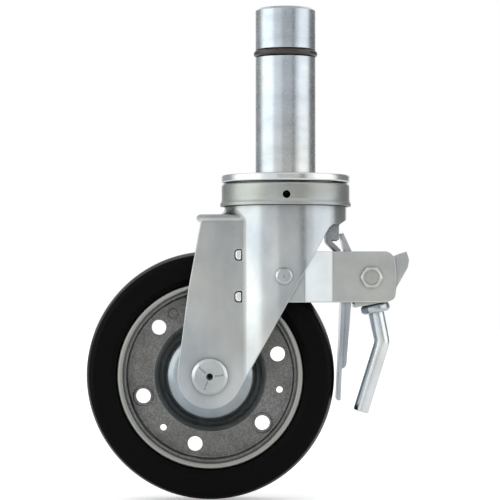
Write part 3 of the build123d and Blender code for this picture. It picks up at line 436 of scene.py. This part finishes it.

# %% [markdown]
# The fork is one deep pressing. Its plate is greyer, with soft stains that run down the legs, so its clouds
# are stretched along Z. Stains could be painted by hand, but noise of the same size is right from every side.
# Corners open late here and the reach is wider, which paints more shade into the folds of the sheet, and the
# sheet's sheared edge is softest.

# %% Fork
fork_zinc = plated(
    "fork_zinc", dark=(0.49, 0.507, 0.50), light=(0.66, 0.672, 0.648), roughness=0.22,
    clouds=(45, 45, 26), grain=(400, 400, 400), depth=0.000001,
    distance=0.006, deepest=0.20, open_at=0.96, film=0.35, edge=0.0011,
)

# %% [markdown]
# The bracket's two cheeks are bent plates with tabs that stand in slots of the fork. The tabs' sheared ends
# shine white in the slots, and that shine is a painted highlight on the tone. A second material would need
# the cheek's faces sorted, and a CAD mesh stays as it is. A mark on the tone needs only the distances from
# the stem along X and Y.

# %% Tabs in the fork's slots
TAB_HIGHLIGHT = (0.95, 0.96, 0.95)
TABS_START = (0.0225, 0.0235)
TABS_PROUD = (0.0277, 0.0280)


def vector_math(tree, operation, first, second=None):
    node = tree.nodes.new("ShaderNodeVectorMath")
    node.operation = operation
    tree.links.new(first, node.inputs[0])
    if second is not None:
        node.inputs[1].default_value = second
    return node.outputs["Value" if operation == "LENGTH" else "Vector"]


def painted_tab_highlight(tree, place, tone):
    """Painted highlight, bright from TABS_START outwards along X and from TABS_PROUD outwards along Y, on
    both sides.
    """
    axes = tree.nodes.new("ShaderNodeSeparateXYZ")
    tree.links.new(vector_math(tree, "ABSOLUTE", place), axes.inputs["Vector"])
    share = tree.nodes.new("ShaderNodeMath")
    share.operation = "MULTIPLY"
    tree.links.new(ranged(tree, axes.outputs["X"], 0.0, 1.0, *TABS_START), share.inputs[0])
    tree.links.new(ranged(tree, axes.outputs["Y"], 0.0, 1.0, *TABS_PROUD), share.inputs[1])
    return mixed(tree, tone, TAB_HIGHLIGHT, share.outputs[0])


# %% [markdown]
# Cheeks and pedal have the same warm grey, so they share their two tones. They could share one material, but
# only the cheeks have tabs with a painted highlight, and the pedal is a deep tray whose painted shade reaches
# further in from its walls. The brake shoe between them is bluer and darker, and its painted shade reaches
# further too.

# %% Cheeks, pedal and shoe
PEDAL_TONES = {"dark": (0.57, 0.575, 0.54), "light": (0.66, 0.665, 0.63)}
cheek_zinc = plated(
    "cheek_zinc", **PEDAL_TONES, roughness=0.22,
    clouds=(50, 50, 50), grain=(400, 400, 400), depth=0.0000007, edge=0.0011, mark=painted_tab_highlight,
)
pedal_zinc = plated(
    "pedal_zinc", **PEDAL_TONES, roughness=0.22,
    clouds=(50, 50, 50), grain=(400, 400, 400), depth=0.0000007, distance=0.007,
)
shoe_zinc = plated(
    "shoe_zinc", dark=(0.44, 0.47, 0.49), light=(0.56, 0.59, 0.61), roughness=0.20,
    clouds=(40, 40, 40), grain=(400, 400, 400), depth=0.000001, distance=0.006,
)

# %% [markdown]
# The grease hole in the swivel's cover and the centre hole of the axle look black, because little light gets
# down into them. Bare metal in a hole would mirror the white studio, and darker light would dim the whole
# castor. So a mark paints the shade: it turns the metal black within a small distance from the line through
# the hole.

# %% Painted shade in holes
HOLE_SHADE_BLACK = (0.012, 0.010, 0.008)
HOLE_EDGE = 0.0002


def radius_along_y(tree, place, x, z):
    """How far a point is from the line through (x, z) that runs along Y."""
    offset = vector_math(tree, "SUBTRACT", place, (x, 0, z))
    return vector_math(tree, "LENGTH", vector_math(tree, "MULTIPLY", offset, (1, 0, 1)))


def painted_hole_shade(x, z, radius):
    """A mark of painted shade, black within the radius of the line through (x, z) along Y."""

    def mark(tree, place, tone):
        inside = ranged(tree, radius_along_y(tree, place, x, z), 1.0, 0.0, radius, radius + HOLE_EDGE)
        return mixed(tree, tone, HOLE_SHADE_BLACK, inside)

    return mark


# %% [markdown]
# The swivel's dust cover is satin, not bright. Its finish is rougher, with a deeper grain, and its clouds run
# round it. Polished bearing steel lies behind the cover, and through the hole one looks straight at it. So
# both finishes have the black mark of painted shade, a little wider on the steel.

# %% Cover and bearing steel
GREASE_HOLE_HEIGHT = -0.0130
satin_zinc = plated(
    "satin_zinc", dark=(0.38, 0.39, 0.36), light=(0.48, 0.49, 0.455), roughness=0.36,
    clouds=(35, 35, 60), grain=(700, 700, 700), depth=0.00002,
    mark=painted_hole_shade(0, GREASE_HOLE_HEIGHT, 0.0019),
)
bearing_steel = plated(
    "bearing_steel", dark=(0.50, 0.50, 0.50), light=(0.62, 0.62, 0.62), roughness=0.18,
    clouds=(90, 90, 90), grain=(900, 900, 900), depth=0.00001,
    mark=painted_hole_shade(0, GREASE_HOLE_HEIGHT, 0.0022),
)

# %% [markdown]
# Bolts, nuts, rivets and washers are plated in a tumbling barrel, which leaves a fine even grain. The axle is
# like them, with painted shade that makes its centre hole black. The pawl and the return spring sit deep
# under the fork and look dark. Shadow alone leaves them too light in a white studio, so their tones are
# darker too, as painted shade.

# %% Fasteners, axle, pawl and spring
BRIGHT_TONES = {"dark": (0.50, 0.51, 0.48), "light": (0.62, 0.63, 0.59)}
fastener_zinc = plated(
    "fastener_zinc", **BRIGHT_TONES, roughness=0.22,
    clouds=(80, 80, 80), grain=(900, 900, 900), depth=0.000005,
)
axle_zinc = plated(
    "axle_zinc", **BRIGHT_TONES, roughness=0.24,
    clouds=(80, 80, 80), grain=(900, 900, 900), depth=0.000005,
    mark=painted_hole_shade(wheel_centre.x, wheel_centre.z, 0.0014),
)
shade_dark_zinc = plated(
    "shade_dark_zinc", dark=(0.24, 0.26, 0.27), light=(0.38, 0.40, 0.41), roughness=0.28,
    clouds=(70, 70, 50), grain=(600, 600, 600), depth=0.000005,
)
spring_steel = plated(
    "spring_steel", dark=(0.20, 0.21, 0.22), light=(0.32, 0.33, 0.34), roughness=0.30,
    clouds=(90, 90, 90), grain=(900, 900, 900), depth=0.00001,
)

# %% [markdown]
# Pieces with no special look still need a finish. A flat grey would look like plastic next to the others, so
# they get plain plate, with wide even clouds and a low grain.

# %% Plain zinc
plain_zinc = plated(
    "zinc", dark=(0.50, 0.52, 0.52), light=(0.60, 0.62, 0.61), roughness=0.20,
    clouds=(30, 30, 30), grain=(400, 400, 400), depth=0.000001,
)

# %% [markdown]
# A wheel disc is pressed from one sheet. The flat web keeps the sheet's dark grain, the drawn centre is
# smoother and gets a brighter bluish tone that is a painted reflection, and the rolled edge is painted
# lighter. Three materials would need the disc's faces sorted, and a CAD mesh stays as it is. So one material
# reads the distance from the axle.

# %% Wheel discs
DOME_ENDS = (0.0325, 0.0345)
EDGE_STARTS = (0.0515, 0.0545)
DOME_REFLECTION_TONE = (0.52, 0.57, 0.59)
EDGE_TONE = (0.42, 0.425, 0.39)
WEB_DARK = (0.20, 0.20, 0.19)
WEB_LIGHT = (0.27, 0.275, 0.27)
GRAIN_TONE = (0.10, 0.10, 0.095)

disc_zinc, disc_tree, disc_shader, disc_place = blank("disc_zinc", WEB_LIGHT, metallic=1.0, roughness=0.34)
from_axle = radius_along_y(disc_tree, disc_place, wheel_centre.x, wheel_centre.z)
on_dome = ranged(disc_tree, from_axle, 1.0, 0.0, *DOME_ENDS)
on_edge = ranged(disc_tree, from_axle, 0.0, 1.0, *EDGE_STARTS)
disc_clouds = noise(disc_tree, disc_place, (60, 60, 60), 5)
disc_grain = noise(disc_tree, disc_place, (1100, 1100, 1100), 4)
disc_tone = two_tones(disc_tree, disc_clouds, WEB_DARK, WEB_LIGHT)
grain_share = ranged(disc_tree, disc_grain, 0.60, 0.0, 0.40, 0.58)
disc_tone = mixed(disc_tree, disc_tone, GRAIN_TONE, grain_share)
# The dome's brighter bluish tone is a painted reflection.
disc_tone = mixed(disc_tree, disc_tone, DOME_REFLECTION_TONE, on_dome)
disc_tone = mixed(disc_tree, disc_tone, EDGE_TONE, on_edge)
# Corners of the disc get painted shade, down to half the tone.
disc_tone = shaded(disc_tree, disc_tone, distance=0.0025, deepest=0.5)
disc_tree.links.new(disc_tone, disc_shader.inputs["Base Color"])
disc_tree.links.new(ranged(disc_tree, on_dome, 0.36, 0.24, 0.0, 1.0), disc_shader.inputs["Roughness"])
bump(disc_tree, disc_shader, disc_grain, distance=0.00002, edge=0.0006)

# %% [markdown]
# The tyre is solid black rubber with a matt, slightly uneven skin, and the ring in the stem's groove is a
# glossier brown one. Rubber isn't a metal: its colour is almost black, and what shows is a weak reflection.
# Lowering the specular level keeps the tyre black in a white studio, where a darker colour alone wouldn't.

# %% Rubber
def rubber(name, colour, roughness, specular, grain_depth):
    paint, tree, shader, place = blank(name, colour, metallic=0.0, roughness=roughness)
    shader.inputs["Specular IOR Level"].default_value = specular
    worn = noise(tree, place, (25, 25, 25), 4)
    tree.links.new(ranged(tree, worn, roughness - 0.06, roughness + 0.10), shader.inputs["Roughness"])
    bump(tree, shader, noise(tree, place, (1200, 1200, 1200), 2), grain_depth)
    return paint


BLACK_RUBBER = (0.0028, 0.0028, 0.0032)
BROWN_RUBBER = (0.020, 0.011, 0.006)
tyre_rubber = rubber("tyre_rubber", BLACK_RUBBER, roughness=0.38, specular=0.05, grain_depth=0.00001)
grip_rubber = rubber("grip_rubber", BROWN_RUBBER, roughness=0.22, specular=0.75, grain_depth=0.000002)

# %% [markdown]
# Each CAD node names a material slot in the record. The finish could be chosen node by node, but the slots
# cover all nodes in one loop, so none is forgotten. A piece that looks different from its slot is named in a
# second list, which is asked first. Only the node's material is replaced, and its mesh is left alone.

# %% Finishes on the CAD nodes
finish_of_slot = {
    "zinc": plain_zinc,
    "satin_zinc": satin_zinc,
    "disc_zinc": disc_zinc,
    "fastener_zinc": fastener_zinc,
    "bearing_steel": bearing_steel,
    "spring_steel": spring_steel,
    "tyre": tyre_rubber,
    "grip_rubber": grip_rubber,
}
finish_of_node = {
    "stem": stem_zinc,
    "top_flange": highlit_rod_zinc,
    "lever_rod": highlit_rod_zinc,
    "fork": fork_zinc,
    "bracket_cheek_near": cheek_zinc,
    "bracket_cheek_far": cheek_zinc,
    "pedal_channel": pedal_zinc,
    "brake_cam": pedal_zinc,
    "brake_shoe": shoe_zinc,
    "swivel_pawl": shade_dark_zinc,
    "axle": axle_zinc,
}
for part in frame["record"]["subparts"]:
    node_materials = nodes[part["node"]].data.materials
    node_materials.clear()
    node_materials.append(finish_of_node.get(part["node"], finish_of_slot[part["material_slot"]]))

# %% [markdown]
# The new pieces of this castor are all turned or rolled, so each is a section spun once round an axis. Lists
# of vertices and faces would be longer and easier to get wrong. bmesh's spin makes the ring, and merging its
# last step with the first closes the seam. A spin can turn a shape inside out, so its normals are worked out
# again at the end.

# %% A turned piece
ALONG_Y = (0, 1, 0)
ALONG_Z = (0, 0, 1)
SHARP_FROM = radians(35)


def spun(name, body, paint, centre, axis, section, steps):
    """A closed ring: the section's points, as (out, along), spun once round the axis."""
    mesh = bpy.data.meshes.new(name)
    bm = bmesh.new()
    axis = Vector(axis)
    centre = Vector(centre)
    loop = [bm.verts.new(centre + Vector((1, 0, 0)) * out + axis * along) for out, along in section]
    edges = [bm.edges.new((loop[i - 1], loop[i])) for i in range(len(loop))]
    bmesh.ops.spin(bm, geom=loop + edges, cent=centre, axis=axis, angle=2 * pi, steps=steps, use_merge=True)
    bmesh.ops.recalc_face_normals(bm, faces=bm.faces)
    for face in bm.faces:
        face.smooth = True
    for edge in bm.edges:
        edge.smooth = edge.calc_face_angle(0) < SHARP_FROM
    bm.to_mesh(mesh)
    bm.free()
    piece = bpy.data.objects.new(name, mesh)
    scene.collection.objects.link(piece)
    mesh.materials.append(paint)
    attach(piece, body)
    print(name, "faces:", len(mesh.polygons))


# %% [markdown]
# Each wheel disc is drawn out to a soft dome round the hub. The CAD dome has plain fillets, but the real
# shoulder is one slow curve. A Bevel modifier can't round a shoulder that wide, so a thin shell is turned
# over the dome. Its section is a smooth line through a few points: a radius, and a distance along the axle.

# %% Line of the dome
dome_points = [
    Vector(point)
    for point in (
        (0.0342, 0.00240),
        (0.0316, 0.00420),
        (0.0296, 0.00800),
        (0.0279, 0.01200),
        (0.0254, 0.01520),
        (0.0222, 0.01720),
        (0.0190, 0.01820),
    )
]


def smooth_line(points, steps):
    """Points along a smooth curve that goes through the given ones."""
    ends = [2 * points[0] - points[1]] + points + [2 * points[-1] - points[-2]]
    line = []
    for i in range(1, len(ends) - 2):
        a, b, c, d = ends[i - 1 : i + 3]
        for step in range(steps):
            t = step / steps
            bend = (2 * a - 5 * b + 4 * c - d) * t + (3 * (b - c) + d - a) * t * t
            line.append(b + 0.5 * t * ((c - a) + bend))
    return line + [points[-1]]


dome_line = smooth_line(dome_points, 6)
print("points on the dome's line:", len(dome_line))

# %% [markdown]
# The punch has polished the dome, so its plate is bluish and almost without grain. A Solidify modifier could
# thicken an open shell. But the same line, set back by the sheet, already gives the shell a back, so the
# section is closed before it is spun.

# %% Domes
DOME_SHEET = 0.00016
# Its corners reach far and go dark, which paints shade on the dome near the fork's foot.
dome_zinc = plated(
    "dome_zinc", dark=(0.31, 0.34, 0.35), light=(0.41, 0.44, 0.445), roughness=0.22,
    clouds=(60, 60, 60), grain=(400, 400, 400), depth=0.0000005, distance=0.007, deepest=0.30, edge=0,
)
for side, name in ((-1, "dome_near"), (1, "dome_far")):
    back = [(out, (along - DOME_SHEET) * side) for out, along in reversed(dome_line)]
    front = [(out, along * side) for out, along in dome_line]
    spun(name, "wheel_group", dome_zinc, wheel_centre, ALONG_Y, front + back, steps=96)

# %% [markdown]
# The ends of the axle, the pivot bolt and the kingpin stand out of their nuts with rolled threads. A Screw
# modifier would wind a true helix, but at a pitch of one millimetre nobody sees how it differs from rings.
# So a section that zigzags along the screw is spun once, and it rides on the body that holds the screw.

# %% A thread
PITCH = 0.0010
THREAD_WALL = 0.0002
ROOT = 0.00003
CREST = 0.0003


def thread(name, body, centre, axis, radius, start, end):
    """Rings of thread on a bar of this radius. start and end are places along the axis."""
    line = [(radius - THREAD_WALL, start), (radius - THREAD_WALL, end)]
    for turn in range(round((end - start) / PITCH), 0, -1):
        line.append((radius + ROOT, start + turn * PITCH))
        line.append((radius + CREST, start + (turn - 0.5) * PITCH))
    line.append((radius + ROOT, start))
    spun(name, body, fastener_zinc, centre, axis, line, steps=64)


# %% [markdown]
# The threads could be placed by typed lengths, but then they would miss the bars after a change in CAD. The
# thread stops short of that, where the chamfer starts.

# %% Threads
axle_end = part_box("axle")[1][1]
bolt_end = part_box("pivot_bolt")[1][1]
king_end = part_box("stem")[0][2]
thread(
    "axle_thread", "fork_group", wheel_centre, ALONG_Y, radius=0.0060,
    start=axle_end - 0.0018, end=axle_end - 0.0008,
)
thread(
    "pivot_thread", "fork_group", pivot_centre, ALONG_Y, radius=0.0040,
    start=bolt_end - 0.0024, end=bolt_end - 0.0009,
)
thread(
    "king_thread", "stem_group", (0, 0, 0), ALONG_Z, radius=0.0090,
    start=king_end + 0.0008, end=king_end + 0.0014,
)

# %% [markdown]
# The view transform stays Standard, which shows each colour about as it is written.

# %% Finish
scene.view_settings.view_transform = "Standard"
